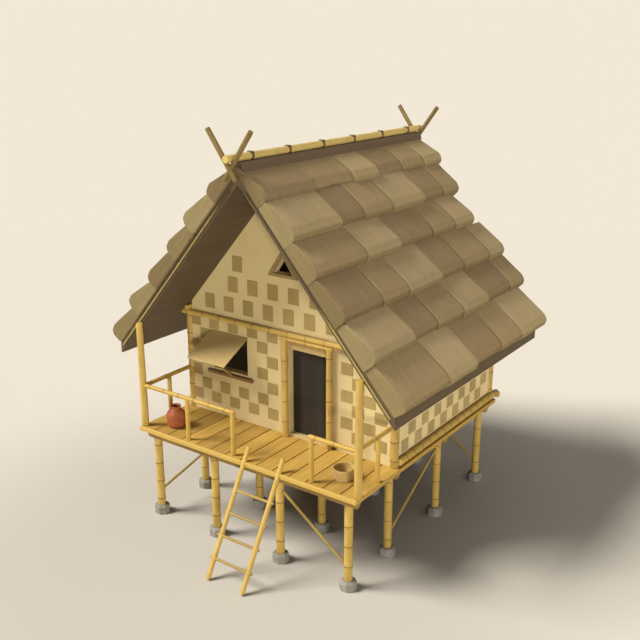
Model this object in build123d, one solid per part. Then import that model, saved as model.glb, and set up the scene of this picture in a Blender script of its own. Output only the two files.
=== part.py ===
from build123d import *
from math import atan, atan2, cos, degrees, hypot, pi, radians, sin
import os

# Bamboo house on stilts. Millimetres, +Z up, veranda and ladder towards -Y, ridge along Y.
# The origin is on the ground, under the middle of the whole object's bounding box.

# Every pole is a prism; its radius is measured to its flats
POLE_SIDES = 16
STICK_SIDES = 12
RUNG_SIDES = 8

# Fits, and how far a cutting shape reaches past what it cuts
SEAT = 0.3
CUT_PAST = 500.0
HINGE_PLAY = 0.08
DOOR_GAP = 8.0

# Deck
DECK_HALF = 2600.0
DECK_FRONT = -2756.0
DECK_BACK = 2726.0
DECK_TOP = 1920.0
DECK_T = 84.0
EDGE_STRIP_W = 50.0
EDGE_STRIP_PROUD = 8.0

# Stilts and footings: the outer rows stand inside the deck's edges
STILT_R = 78.0
STILT_SIDE_INSET = 284.0
STILT_FRONT_INSET = 219.0
STILT_BACK_INSET = 224.0
STILT_INNER_X = 794.0
STILT_INNER_Y = (-1210.0, 657.0)
FOOTING_R = 162.0
FOOTING_H = 180.0
FOOTING_CHAMFER = 34.0
BEARER_R = 94.0
BEARER_INSET = 100.0
BRACE_R = 27.0
BRACE_LOW = 420.0
BRACE_HIGH = 1530.0
LEFT_BRACE_FRONT = 500.0
LEFT_BRACE_BACK = 820.0

# House body
POST_R = 78.0
POST_SIDE_INSET = 130.0
POST_BACK_INSET = 123.0
VERANDA_DEPTH = 1458.0
WALL_T = 156.0
WALL_OUT = 30.0
SIDE_PLATE_R = 45.0
SIDE_PLATE_INSET = 40.0
END_PLATE_R = 54.0
END_PLATE_POKE = 130.0
PLATE_POKE = 12.0
BASE_RAIL_R = 66.0
BASE_RAIL_LIFT = 58.0
RAIL_POKE = 110.0

# Roof frame
EAVE_OVERHANG = 730.0
EAVE_RISE = 1387.0
APEX_RISE = 5076.0
SLAB_T = 145.0
ROOF_FRONT_INSET = 196.0
ROOF_BACK_OVERHANG = 444.0
BARGE_R = 13.0
BARGE_OFFSET = 62.0
BARGE_TOP = 200.0
BARGE_INSET = 193.0

# Thatch: each course's lower edge, as a share of the slope, and how far its ends pass the roof's
COURSE_SHARES = (0.1208, 0.2847, 0.4383, 0.6164, 0.7782, 0.9687)
COURSE_FRONT_OVER = (65.0, 65.0, 65.0, 65.0, 40.0, 15.0)
COURSE_BACK_OVER = (230.0, 95.0, -160.0, 165.0, 200.0, -30.0)
COURSE_TIPS = (285.0, 335.0, 335.0, 345.0, 345.0, 340.0)
COURSE_LAP = 200.0
END_WRAP = 60.0
BUNDLE_GAP = 6.0
BUNDLE_ROOT_H = 150.0
BUNDLE_SEAT_H = 205.0
BUNDLE_SEAT_RUN = 60.0
BUNDLE_CROWN = 190.0
BUNDLE_BEVEL = 60.0
BUNDLE_BEVEL_H = 28.0
BUNDLE_NOSE_SHARE = 0.15
EAVE_TUCK = 30.0
TONE_LIFT = {"light": 30.0, "mid": 0.0, "dark": -28.0}
TONE_REACH = {"light": 25.0, "mid": 0.0, "dark": -25.0}
# Each course: widths of its bundles as shares of the roof's length, with each bundle's tone
COURSE_BUNDLES = (
    ((0.24, "mid"), (0.20, "dark"), (0.14, "light"), (0.16, "dark"), (0.14, "mid"), (0.12, "light")),
    ((0.24, "light"), (0.14, "dark"), (0.16, "mid"), (0.20, "light"), (0.15, "dark"), (0.11, "mid")),
    ((0.27, "mid"), (0.20, "light"), (0.23, "dark"), (0.16, "mid"), (0.14, "light")),
    ((0.20, "dark"), (0.14, "mid"), (0.20, "light"), (0.17, "dark"), (0.18, "mid"), (0.11, "light")),
    ((0.22, "light"), (0.15, "dark"), (0.16, "mid"), (0.17, "light"), (0.19, "dark"), (0.11, "mid")),
    ((0.26, "mid"), (0.18, "light"), (0.20, "dark"), (0.15, "mid"), (0.21, "light")),
)

# Ridge
THATCH_RIDGE_RISE = 88.0
THATCH_RIDGE_GRADE = 0.57
CAP_H = 78.0
CAP_TOP_HALF = 100.0
CAP_FOOT_HALF = 150.0
CAP_BACK_OVER = 305.0
RIDGE_R = 66.0
RIDGE_FRONT_OVER = 290.0
RIDGE_BACK_OVER = 470.0
TIE_T = 15.0
TIE_W = 26.0
TIE_FIRST = 365.0
TIE_PITCH = 1043.0
TIE_COUNT = 6
FINIAL_R = 44.0
FINIAL_FRONT_OVER = 175.0
FINIAL_UP = 662.0
FINIAL_DOWN = 180.0
FINIAL_SPREAD = 0.715

# Door
DOOR_X0 = 103.0
DOOR_X1 = 1028.0
DOOR_HEAD_RISE = 1807.0
THRESHOLD_H = 52.0
LEAF_T = 42.0
PIVOT_R = 12.0
PIVOT_LEN = 24.0
PIVOT_POCKET = 26.0
PIVOT_LIFT = 1.0
FRAME_R = 58.0
LINTEL_R = 42.0
LINTEL_OVERHANG = 70.0

# Window
WINDOW_X0 = -1851.0
WINDOW_X1 = -932.0
WINDOW_RISE = 1010.0
WINDOW_H = 786.0
FLAP_T = 28.0
FLAP_SIDE = 26.0
FLAP_LONGER = 10.0
FLAP_ANGLE = 28.5
SILL_R = 40.0
SILL_DROP = 76.0
SILL_LEFT = 90.0
SILL_RIGHT = 148.0
PROP_R = 18.0
PROP_TOP_SHARE = 0.74
PROP_FOOT_SHARE = 0.58

# Gable vent
VENT_HALF = 235.0
VENT_BELOW_APEX = 1826.0
VENT_H = 350.0
VENT_FRAME_W = 60.0
VENT_FRAME_T = 40.0

# Veranda
VPOST_R = 72.0
VPOST_TOP_R = 62.0
VPOST_SIDE_INSET = 41.0
VPOST_FRONT_INSET = 130.0
VPOST_PAST_ROOF = 24.0
HANDRAIL_R = 42.0
HANDRAIL_RISE = 865.0
BALUSTER_R = 44.0
FRONT_RAIL_LEFT_END = -180.0
FRONT_RAIL_RIGHT_END = 1534.0
SIDE_BALUSTER_BACK = 680.0
SIDE_RAIL_INSET = 40.0

# Ladder
LADDER_X0 = 120.0
LADDER_X1 = 925.0
LADDER_RUN = 1244.0
LADDER_TOP_INSET = 170.0
LADDER_RISE = 246.0
LADDER_R = 44.0
RUNG_R = 25.0
RUNG_FIRST = 413.0
RUNG_PITCH = 424.0
RUNG_COUNT = 4
RUNG_PROUD = 34.0

# Jar and basket
JAR_SIDE_INSET = 584.0
JAR_FRONT_INSET = 459.0
JAR_H = 445.0
JAR_R = 192.0
JAR_WALL = 16.0
JAR_SIDES = 24
# Radius and height, as shares of the jar's own radius and height, from foot to lip
JAR_RINGS = (
    (0.64, 0.0), (0.87, 0.06), (1.0, 0.18), (1.0, 0.6), (0.9, 0.7),
    (0.66, 0.8), (0.5, 0.87), (0.5, 0.92), (0.55, 1.0),
)
BASKET_SIDE_INSET = 646.0
BASKET_FRONT_INSET = 586.0
BASKET_H = 215.0
BASKET_R = 200.0
BASKET_WALL = 16.0
BASKET_FOOT_SHARE = 0.86
BASKET_SIDES = 24

# Derived: plan
STILT_X = (STILT_SIDE_INSET - DECK_HALF, -STILT_INNER_X, STILT_INNER_X, DECK_HALF - STILT_SIDE_INSET)
STILT_Y = (DECK_FRONT + STILT_FRONT_INSET, *STILT_INNER_Y, DECK_BACK - STILT_BACK_INSET)
BEARER_HALF = DECK_HALF - BEARER_INSET
POST_X = DECK_HALF - POST_SIDE_INSET
POST_FRONT_Y = DECK_FRONT + VERANDA_DEPTH
POST_BACK_Y = DECK_BACK - POST_BACK_INSET
WALL_FRONT = POST_FRONT_Y - WALL_OUT
WALL_BACK = POST_BACK_Y + WALL_OUT
WALL_X = POST_X + WALL_OUT
SIDE_PLATE_X = POST_X - SIDE_PLATE_INSET
END_PLATE_HALF = POST_X + END_PLATE_POKE
EAVE_X = POST_X + EAVE_OVERHANG
ROOF_FRONT = DECK_FRONT + ROOF_FRONT_INSET
ROOF_BACK = DECK_BACK + ROOF_BACK_OVERHANG
CAP_BACK = ROOF_BACK + CAP_BACK_OVER
RIDGE_FRONT = ROOF_FRONT - RIDGE_FRONT_OVER
RIDGE_BACK = ROOF_BACK + RIDGE_BACK_OVER
VPOST_X = DECK_HALF - VPOST_SIDE_INSET
VPOST_Y = DECK_FRONT + VPOST_FRONT_INSET
BALUSTER_LEFT_MID = (FRONT_RAIL_LEFT_END - VPOST_X) / 2
LADDER_TOP_Y = DECK_FRONT + LADDER_TOP_INSET
LADDER_FOOT_Y = LADDER_TOP_Y - LADDER_RUN
JAR_X = JAR_SIDE_INSET - DECK_HALF
JAR_Y = DECK_FRONT + JAR_FRONT_INSET
BASKET_X = DECK_HALF - BASKET_SIDE_INSET
BASKET_Y = DECK_FRONT + BASKET_FRONT_INSET
Y_SHIFT = -(LADDER_FOOT_Y - LADDER_R + RIDGE_BACK) / 2

# Derived: heights
POLE_CORNER = 1 / cos(pi / POLE_SIDES)
EAVE_Z = DECK_TOP + EAVE_RISE
APEX_Z = DECK_TOP + APEX_RISE
PITCH = atan2(APEX_Z - EAVE_Z, EAVE_X)
SLOPE = hypot(APEX_Z - EAVE_Z, EAVE_X)
SLAB_V = SLAB_T / cos(PITCH)
THATCH_RIDGE_Z = APEX_Z + SLAB_V + THATCH_RIDGE_RISE
CAP_TOP_Z = THATCH_RIDGE_Z + CAP_H
RIDGE_Z = CAP_TOP_Z + RIDGE_R
BARGE_FOOT = SLOPE - BARGE_INSET
COURSE_EDGES = [share * SLOPE for share in COURSE_SHARES]
COURSE_FRONTS = [ROOF_FRONT - over for over in COURSE_FRONT_OVER]
COURSE_BACKS = [ROOF_BACK + over for over in COURSE_BACK_OVER]
BEARER_Z = DECK_TOP - DECK_T - BEARER_R
DOOR_HEAD_Z = DECK_TOP + DOOR_HEAD_RISE
WINDOW_Z0 = DECK_TOP + WINDOW_RISE
WINDOW_Z1 = WINDOW_Z0 + WINDOW_H
SILL_Z = WINDOW_Z0 - SILL_DROP
VENT_Z = APEX_Z - VENT_BELOW_APEX
HANDRAIL_Z = DECK_TOP + HANDRAIL_RISE
LADDER_TOP_Z = DECK_TOP + LADDER_RISE


def under_roof(x):
    return APEX_Z - abs(x) * (APEX_Z - EAVE_Z) / EAVE_X


VPOST_TOP = under_roof(VPOST_X) + VPOST_PAST_ROOF
SIDE_PLATE_Z = under_roof(SIDE_PLATE_X) - SIDE_PLATE_R * POLE_CORNER / cos(PITCH) - SEAT
WALL_TOP = SIDE_PLATE_Z - SIDE_PLATE_R - SEAT
END_PLATE_Z = WALL_TOP - END_PLATE_R
LINTEL_Z = END_PLATE_Z - END_PLATE_R - LINTEL_R - SEAT
SEAT_GRADE = (BUNDLE_SEAT_H - BUNDLE_ROOT_H) / COURSE_LAP


def slab(x0, x1, y0, y1, z0, z1):
    return Pos((x0 + x1) / 2, (y0 + y1) / 2, (z0 + z1) / 2) * Box(x1 - x0, y1 - y0, z1 - z0)


def facets(radius, sides):
    return RegularPolygon(radius, sides, major_radius=False, rotation=180 / sides)


def pole(start, end, radius, sides=POLE_SIDES):
    along = Vector(*end) - Vector(*start)
    across = (0, 1, 0) if abs(along.X) > abs(along.Y) else (1, 0, 0)
    place = Plane(origin=start, x_dir=across, z_dir=along).location
    return place * extrude(facets(radius, sides), along.length)


def pin(x, y, z0, z1, radius):
    return Pos(x, y, z0) * Cylinder(radius, z1 - z0, align=(Align.CENTER, Align.CENTER, Align.MIN))


def upright(place, z0, z1, radius):
    x, y = place
    return pole((x, y, z0), (x, y, z1), radius)


def prism(points, y0, y1):
    # A closed outline in X and Z, swept from y0 to y1
    face = Plane.XZ * make_face(Polyline(*points, close=True))
    return Pos(0, y0, 0) * extrude(face, amount=-(y1 - y0))


def make_footings():
    stones = []
    for x in STILT_X:
        for y in STILT_Y:
            block = extrude(RegularPolygon(FOOTING_R, 8, rotation=22.5), FOOTING_H)
            block = chamfer(block.edges().group_by(Axis.Z)[-1], FOOTING_CHAMFER)
            stones.append(Pos(x, y, 0) * block)
    return stones


def bearer(y):
    return pole((-BEARER_HALF, y, BEARER_Z), (BEARER_HALF, y, BEARER_Z), BEARER_R)


def make_stilts():
    return [upright((x, y), FOOTING_H, BEARER_Z, STILT_R) - bearer(y) for y in STILT_Y for x in STILT_X]


def make_bearers():
    return [bearer(y) for y in STILT_Y]


def brace(start, end, post_a, post_b):
    stick = pole(start, end, BRACE_R, STICK_SIDES)
    for place in (post_a, post_b):
        stick -= upright(place, 0, DECK_TOP, STILT_R)
    return max(stick.solids(), key=lambda s: s.volume)


def make_braces():
    left, inner, right = STILT_X[0], STILT_X[2], STILT_X[3]
    front, wall, middle, back = STILT_Y
    low, high = BRACE_LOW, BRACE_HIGH
    return [
        brace((left, front, LEFT_BRACE_FRONT), (left, wall, LEFT_BRACE_BACK), (left, front), (left, wall)),
        brace((inner, front, high), (right, front, low), (inner, front), (right, front)),
        brace((right, wall, low), (right, middle, high), (right, wall), (right, middle)),
        brace((right, back, low), (inner, back, high), (right, back), (inner, back)),
    ]


def make_deck():
    y0 = DECK_FRONT + EDGE_STRIP_W
    return [slab(-DECK_HALF, DECK_HALF, y0, DECK_BACK, DECK_TOP - DECK_T, DECK_TOP)]


def make_edge_strip():
    y1 = DECK_FRONT + EDGE_STRIP_W
    z0 = DECK_TOP - DECK_T
    return [slab(-DECK_HALF, DECK_HALF, DECK_FRONT, y1, z0, DECK_TOP + EDGE_STRIP_PROUD)]


def post_places():
    return [(x, y) for x in (-POST_X, POST_X) for y in (POST_FRONT_Y, POST_BACK_Y)]


def make_corner_posts():
    roof = roof_space()
    return [upright(place, DECK_TOP, WALL_TOP, POST_R) & roof for place in post_places()]


def roof_space():
    # Everything above the deck and under the roof slabs
    points = ((-EAVE_X, DECK_TOP), (EAVE_X, DECK_TOP), (EAVE_X, EAVE_Z), (0, APEX_Z), (-EAVE_X, EAVE_Z))
    return prism(points, ROOF_FRONT, ROOF_BACK)


def cross_lap(upper, lower, x, y, z, r_upper, r_lower):
    # upper runs along Y and keeps its top half, lower runs along X and keeps its bottom half
    reach = 2 * max(r_upper, r_lower)
    upper_cut = slab(x - reach, x + reach, y - r_lower, y + r_lower, z - reach, z)
    lower_cut = slab(x - r_upper, x + r_upper, y - reach, y + reach, z, z + reach)
    return upper - upper_cut, lower - lower_cut


def make_wall_plates():
    y_front, y_back = WALL_FRONT - END_PLATE_R, WALL_BACK + END_PLATE_R
    roof = roof_space()
    ends = []
    for y in (y_front, y_back):
        end = pole((-END_PLATE_HALF, y, END_PLATE_Z), (END_PLATE_HALF, y, END_PLATE_Z), END_PLATE_R)
        ends.append(scribed(end & roof))
    y0, y1 = y_front - END_PLATE_R - PLATE_POKE, y_back + END_PLATE_R + PLATE_POKE
    sides = []
    for x in (-SIDE_PLATE_X, SIDE_PLATE_X):
        sides.append(pole((x, y0, SIDE_PLATE_Z), (x, y1, SIDE_PLATE_Z), SIDE_PLATE_R))
    return sides, ends


def make_base_rails():
    z = DECK_TOP + BASE_RAIL_LIFT + BASE_RAIL_R
    x, y_back = WALL_X + BASE_RAIL_R, WALL_BACK + BASE_RAIL_R
    back = pole((-x - RAIL_POKE, y_back, z), (x + RAIL_POKE, y_back, z), BASE_RAIL_R)
    rails = []
    for side in (-x, x):
        rail = pole((side, POST_FRONT_Y, z), (side, y_back + RAIL_POKE, z), BASE_RAIL_R)
        rail, back = cross_lap(rail, back, side, y_back, z, BASE_RAIL_R, BASE_RAIL_R)
        rails.append(scribed(rail))
    return rails, [scribed(back)]


def scribed(piece):
    # Cut to the shape of the corner posts it meets
    for place in post_places():
        piece -= upright(place, DECK_TOP - CUT_PAST, APEX_Z, POST_R + SEAT)
    return piece


def make_front_walls():
    y1 = WALL_FRONT + WALL_T
    left = slab(-WALL_X, DOOR_X0, WALL_FRONT, y1, DECK_TOP, WALL_TOP)
    left -= slab(WINDOW_X0, WINDOW_X1, WALL_FRONT - CUT_PAST, y1 + CUT_PAST, WINDOW_Z0, WINDOW_Z1)
    right = slab(DOOR_X1, WALL_X, WALL_FRONT, y1, DECK_TOP, WALL_TOP)
    over = slab(DOOR_X0, DOOR_X1, WALL_FRONT, y1, DOOR_HEAD_Z, WALL_TOP)
    over -= pin(hinge_x(), hinge_y(), DOOR_HEAD_Z - 1, DOOR_HEAD_Z + PIVOT_POCKET, PIVOT_R + HINGE_PLAY)
    return [scribed(left)], [scribed(right)], [over]


def make_side_wall(side):
    x0, x1 = sorted((side * WALL_X, side * (WALL_X - WALL_T)))
    wall = slab(x0, x1, WALL_FRONT + WALL_T, WALL_BACK - WALL_T, DECK_TOP, WALL_TOP)
    return [scribed(wall)]


def make_back_wall():
    wall = slab(-WALL_X, WALL_X, WALL_BACK - WALL_T, WALL_BACK, DECK_TOP, WALL_TOP)
    return [scribed(wall)]


def gable(y0):
    half = SIDE_PLATE_X - SIDE_PLATE_R - SEAT
    shoulder = under_roof(half)
    points = ((-half, WALL_TOP), (half, WALL_TOP), (half, shoulder), (0, APEX_Z), (-half, shoulder))
    return prism(points, y0, y0 + WALL_T)


def vent_outline(extra):
    # The vent's triangle, grown by extra on every side
    slant = atan2(VENT_H, VENT_HALF)
    top = VENT_Z + VENT_H + extra / cos(slant)
    base = VENT_Z - extra
    half = VENT_HALF * (top - base) / VENT_H
    return ((-half, base), (half, base), (0, top))


def make_gables():
    front = gable(WALL_FRONT) - prism(vent_outline(0), WALL_FRONT - CUT_PAST, WALL_FRONT + CUT_PAST)
    return [front], [gable(WALL_BACK - WALL_T)]


def make_vent_frame():
    ring = prism(vent_outline(VENT_FRAME_W), WALL_FRONT - VENT_FRAME_T, WALL_FRONT)
    return [ring - prism(vent_outline(0), WALL_FRONT - CUT_PAST, WALL_FRONT + CUT_PAST)]


def hinge_x():
    return DOOR_X0 + DOOR_GAP + LEAF_T / 2


def hinge_y():
    return WALL_FRONT + WALL_T - LEAF_T / 2


def make_door():
    x, y = hinge_x(), hinge_y()
    z0 = DECK_TOP + THRESHOLD_H + DOOR_GAP
    z1 = DOOR_HEAD_Z - DOOR_GAP
    leaf = slab(x, DOOR_X1 - DOOR_GAP, y - LEAF_T / 2, y + LEAF_T / 2, z0, z1)
    leaf += pin(x, y, z0, z1, LEAF_T / 2)
    low = DECK_TOP + THRESHOLD_H - PIVOT_POCKET + PIVOT_LIFT
    leaf += pin(x, y, low, DOOR_HEAD_Z + PIVOT_LEN, PIVOT_R)
    return [leaf]


def make_threshold():
    x, y = hinge_x(), hinge_y()
    sill = slab(DOOR_X0, DOOR_X1, WALL_FRONT, WALL_FRONT + WALL_T, DECK_TOP, DECK_TOP + THRESHOLD_H)
    z = DECK_TOP + THRESHOLD_H
    return [sill - pin(x, y, z - PIVOT_POCKET, z + 1, PIVOT_R + HINGE_PLAY)]


def lintel(radius):
    x0, x1 = DOOR_X0 - FRAME_R - LINTEL_OVERHANG, DOOR_X1 + FRAME_R + LINTEL_OVERHANG
    y = WALL_FRONT - LINTEL_R
    return pole((x0, y, LINTEL_Z), (x1, y, LINTEL_Z), radius)


def make_door_frame():
    frame = [lintel(LINTEL_R)]
    for x in (DOOR_X0 - FRAME_R, DOOR_X1 + FRAME_R):
        jamb = upright((x, WALL_FRONT - FRAME_R), DECK_TOP, LINTEL_Z, FRAME_R)
        frame.append(jamb - lintel(LINTEL_R + SEAT))
    return frame


def flap_frame():
    # The flap's hinge point, length and direction, down and outwards
    y, z = WALL_FRONT - FLAP_T, WINDOW_Z1
    angle = radians(FLAP_ANGLE)
    return y, z, WINDOW_H + FLAP_LONGER, -cos(angle), -sin(angle)


def make_flap():
    y, z, length, dy, dz = flap_frame()
    ny, nz = dz, -dy
    a, b = (y, z), (y + dy * length, z + dz * length)
    points = [a, b, (b[0] - ny * FLAP_T, b[1] + nz * FLAP_T), (WALL_FRONT, z + FLAP_T), (WALL_FRONT, z)]
    face = Plane.YZ * make_face(Polyline(*points, close=True))
    x0, x1 = WINDOW_X0 - FLAP_SIDE, WINDOW_X1 + FLAP_SIDE
    return [Pos(x0, 0, 0) * extrude(face, amount=x1 - x0)]


def make_sill():
    y = WALL_FRONT - SILL_R
    return [pole((WINDOW_X0 - SILL_LEFT, y, SILL_Z), (WINDOW_X1 + SILL_RIGHT, y, SILL_Z), SILL_R)]


def make_prop():
    y, z, length, dy, dz = flap_frame()
    width = WINDOW_X1 - WINDOW_X0
    reach = length - 2 * FLAP_T
    top = (WINDOW_X0 + PROP_TOP_SHARE * width, y + dy * reach, z + dz * reach + PROP_R)
    foot = (WINDOW_X0 + PROP_FOOT_SHARE * width, WALL_FRONT - SILL_R, SILL_Z)
    stick = pole(foot, top, PROP_R, RUNG_SIDES) - make_sill()[0] - make_flap()[0]
    return [max(stick.solids(), key=lambda s: s.volume)]


def veranda_post(side, extra=0.0):
    height = VPOST_TOP - DECK_TOP
    taper = degrees(atan((VPOST_R - VPOST_TOP_R) / height))
    post = extrude(facets(VPOST_R + extra, POLE_SIDES), height, taper=taper)
    return Pos(side * VPOST_X, VPOST_Y, DECK_TOP) * post


def make_veranda_posts():
    return [veranda_post(-1), veranda_post(1)]


def baluster(place, rail):
    return upright(place, DECK_TOP, HANDRAIL_Z, BALUSTER_R) - rail


def front_handrail(side, radius):
    end = FRONT_RAIL_RIGHT_END if side > 0 else FRONT_RAIL_LEFT_END
    return pole((side * VPOST_X, VPOST_Y, HANDRAIL_Z), (end, VPOST_Y, HANDRAIL_Z), radius)


def side_handrail(side, radius):
    x = side * (VPOST_X - SIDE_RAIL_INSET)
    return pole((x, VPOST_Y, HANDRAIL_Z), (x, POST_FRONT_Y, HANDRAIL_Z), radius)


def make_rails(side):
    post = veranda_post(side, SEAT)
    front = front_handrail(side, HANDRAIL_R) - post
    lateral = side_handrail(side, HANDRAIL_R) - post - front_handrail(side, HANDRAIL_R + SEAT)
    lateral = scribed(lateral) - slab(-DECK_HALF, DECK_HALF, WALL_FRONT, DECK_BACK, DECK_TOP, WALL_TOP)
    pieces = [max(rail.solids(), key=lambda s: s.volume) for rail in (front, lateral)]
    over_front = front_handrail(side, HANDRAIL_R + SEAT)
    over_side = side_handrail(side, HANDRAIL_R + SEAT)
    end = FRONT_RAIL_RIGHT_END if side > 0 else FRONT_RAIL_LEFT_END
    pieces.append(baluster((end + side * BALUSTER_R, VPOST_Y), over_front))
    if side < 0:
        pieces.append(baluster((BALUSTER_LEFT_MID, VPOST_Y), over_front))
    pieces.append(baluster((side * (VPOST_X - SIDE_RAIL_INSET), VPOST_Y + SIDE_BALUSTER_BACK), over_side))
    return pieces


def make_roof_slab(side):
    outline = ((0, APEX_Z), (side * EAVE_X, EAVE_Z), (side * EAVE_X, EAVE_Z + SLAB_V), (0, APEX_Z + SLAB_V))
    return [prism(outline, ROOF_FRONT, ROOF_BACK)]


def slope_point(side, down, out):
    # down: distance down the slope; out: height above the slab's top face
    high = out + SLAB_T
    x = down * cos(PITCH) + high * sin(PITCH)
    z = APEX_Z - down * sin(PITCH) + high * cos(PITCH)
    return side * x, z


def bundle(side, course, tone, y0, y1):
    # Thick end over the next course's root; the first course meets its twin under the ridge cap
    last = course == len(COURSE_EDGES) - 1
    lower = COURSE_EDGES[course] + TONE_REACH[tone]
    crown = COURSE_TIPS[course] + TONE_LIFT[tone]
    seat = BUNDLE_ROOT_H + (COURSE_LAP + TONE_REACH[tone]) * SEAT_GRADE
    nose = seat + (crown - seat) * BUNDLE_NOSE_SHARE
    outline = [(lower - BUNDLE_CROWN, crown), (lower - BUNDLE_BEVEL, crown - BUNDLE_BEVEL_H), (lower, nose)]
    outline.append((lower - EAVE_TUCK, 0) if last else (lower, 0))
    points = [slope_point(side, down, out) for down, out in outline]
    body = prism(bundle_head(side, course) + points, y0, y1)
    if not last:
        body -= roots(side, course + 1)
    if course > 0:
        for wrap in end_wraps(side, course, y0, y1):
            body -= wrap
    return body


def bundle_head(side, course):
    # The bundle's upper end, from the slab outwards
    if course == 0:
        x0, x1 = SEAT / 2, CAP_FOOT_HALF + 10
        z1 = THATCH_RIDGE_Z - x1 * THATCH_RIDGE_GRADE
        return [(side * x0, under_roof(x0) + SLAB_V), (side * x0, THATCH_RIDGE_Z), (side * x1, z1)]
    start = COURSE_EDGES[course - 1] - COURSE_LAP
    run = COURSE_LAP + BUNDLE_SEAT_RUN
    head = [(start, 0), (start, BUNDLE_ROOT_H), (start + run, BUNDLE_ROOT_H + run * SEAT_GRADE)]
    return [slope_point(side, down, out) for down, out in head]


def course_prism(side, outline, y0, y1):
    # An outline in distances down the slope and out of the slab, swept along the roof
    return prism([slope_point(side, down, out) for down, out in outline], y0, y1)


def lap_span(course):
    # Where a course's roots lie under the course above; at the ends the bundles close the lap
    y0 = max(COURSE_FRONTS[course], COURSE_FRONTS[course - 1]) + END_WRAP
    y1 = min(COURSE_BACKS[course], COURSE_BACKS[course - 1]) - END_WRAP
    return y0, y1


def roots(side, course):
    # What a course's roots take from the underside of the course above
    start = COURSE_EDGES[course - 1] - COURSE_LAP
    run = COURSE_LAP + 2 * BUNDLE_SEAT_RUN
    top = BUNDLE_ROOT_H + run * SEAT_GRADE
    outline = ((start, 0), (start, BUNDLE_ROOT_H), (start + run, top), (start + run, 0))
    return course_prism(side, outline, *lap_span(course))


def end_wraps(side, course, y0, y1):
    # At a roof end a bundle starts at the lower edge of the course above instead of under it
    row = COURSE_BUNDLES[course - 1]
    lap0, lap1 = lap_span(course)
    wraps = []
    for tone, start, end in ((row[0][1], y0, min(lap0, y1)), (row[-1][1], max(lap1, y0), y1)):
        if end > start:
            edge = COURSE_EDGES[course - 1] + TONE_REACH[tone] + SEAT
            top = 2 * BUNDLE_SEAT_H
            outline = ((edge - 2 * COURSE_LAP, 0), (edge - 2 * COURSE_LAP, top), (edge, top), (edge, 0))
            wraps.append(course_prism(side, outline, start, end))
    return wraps


def make_course(course):
    row = COURSE_BUNDLES[course]
    span = COURSE_BACKS[course] - COURSE_FRONTS[course] + BUNDLE_GAP
    total = sum(share for share, _ in row)
    bundles = []
    for side in (-1, 1):
        y = COURSE_FRONTS[course]
        for share, tone in row:
            y1 = y + span * share / total
            bundles.append(bundle(side, course, tone, y, y1 - BUNDLE_GAP))
            y = y1
    return bundles


def make_ridge_cap():
    apex = THATCH_RIDGE_Z + SEAT
    foot = apex - CAP_FOOT_HALF * THATCH_RIDGE_GRADE
    points = ((0, apex), (CAP_FOOT_HALF, foot), (CAP_TOP_HALF, CAP_TOP_Z),
              (-CAP_TOP_HALF, CAP_TOP_Z), (-CAP_FOOT_HALF, foot))
    return [prism(points, ROOF_FRONT, CAP_BACK)]


def make_ridge_pole():
    return [pole((0, RIDGE_FRONT, RIDGE_Z), (0, RIDGE_BACK, RIDGE_Z), RIDGE_R)]


def make_ties():
    ties = []
    for i in range(TIE_COUNT):
        y0 = ROOF_FRONT + TIE_FIRST + i * TIE_PITCH - TIE_W / 2
        y1 = y0 + TIE_W
        ring = pole((0, y0, RIDGE_Z), (0, y1, RIDGE_Z), RIDGE_R + SEAT + TIE_T)
        ring -= pole((0, y0 - 1, RIDGE_Z), (0, y1 + 1, RIDGE_Z), RIDGE_R + SEAT)
        ties.append(ring & slab(-CAP_TOP_HALF, CAP_TOP_HALF, y0, y1, CAP_TOP_Z, CAP_TOP_Z + 4 * RIDGE_R))
    return ties


def half_lap(front, back, y):
    # Two sticks crossing in one plane, each cut to half its depth where the other passes
    reach = 2 * APEX_Z
    near = slab(-reach, reach, y - reach, y, 0, reach)
    far = slab(-reach, reach, y, y + reach, 0, reach)
    return [front - (back & far), back - (front & near)]


def make_finials():
    # The ridge pole lies in the crook of the front pair; the back pair stands against the cap's end
    crook = RIDGE_R * POLE_CORNER + FINIAL_R + SEAT
    z = RIDGE_Z - crook / sin(atan(FINIAL_SPREAD))
    sticks = []
    for y in (ROOF_FRONT - FINIAL_FRONT_OVER, CAP_BACK + FINIAL_R + SEAT):
        pair = []
        for side in (-1, 1):
            start = (-side * FINIAL_DOWN * FINIAL_SPREAD, y, z - FINIAL_DOWN)
            end = (side * FINIAL_UP * FINIAL_SPREAD, y, z + FINIAL_UP)
            pair.append(pole(start, end, FINIAL_R, STICK_SIDES))
        sticks += half_lap(*pair, y)
    return sticks


def make_barge_poles():
    poles = []
    y = ROOF_FRONT - BARGE_R
    for side in (-1, 1):
        x0, z0 = slope_point(side, BARGE_TOP, BARGE_OFFSET - SLAB_T)
        x1, z1 = slope_point(side, BARGE_FOOT, BARGE_OFFSET - SLAB_T)
        poles.append(pole((x0, y, z0), (x1, y, z1), BARGE_R, STICK_SIDES) - veranda_post(side, SEAT))
    return poles


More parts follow.
